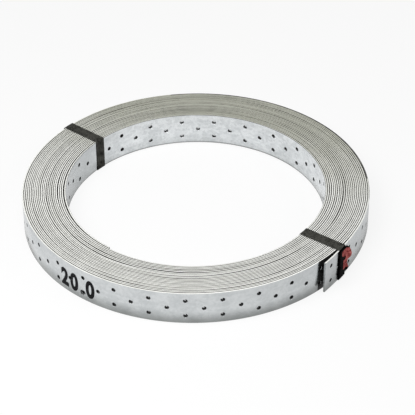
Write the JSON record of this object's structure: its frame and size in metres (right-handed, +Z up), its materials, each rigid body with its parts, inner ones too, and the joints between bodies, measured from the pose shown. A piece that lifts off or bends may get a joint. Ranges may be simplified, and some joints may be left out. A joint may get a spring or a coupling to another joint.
{
  "type": "coil of perforated steel strap",
  "caption": "Flat-lying tied coil of galvanised perforated steel strap with staggered nail holes, a free outer end, and narrow black tie bands with crimped red seals.",
  "frame": {"origin": "on the axis of the coil, on the floor that it lies on", "axes": "+Z up along the axis of the coil; +X to the line where the outer end of the strap lifts off"},
  "size_m": [0.413, 0.4008, 0.0412],
  "materials": {
    "galvanised_steel": "hot-dip galvanised, pale and slightly mottled",
    "black_band": "black satin",
    "red_seal": "dull red lacquer"
  },
  "bodies": {
    "root": {"strap_coil": "galvanised_steel", "far_tie_band": "black_band", "near_tie_band": "black_band", "far_seal": "red_seal", "near_seal": "red_seal"}
  },
  "joints": []
}
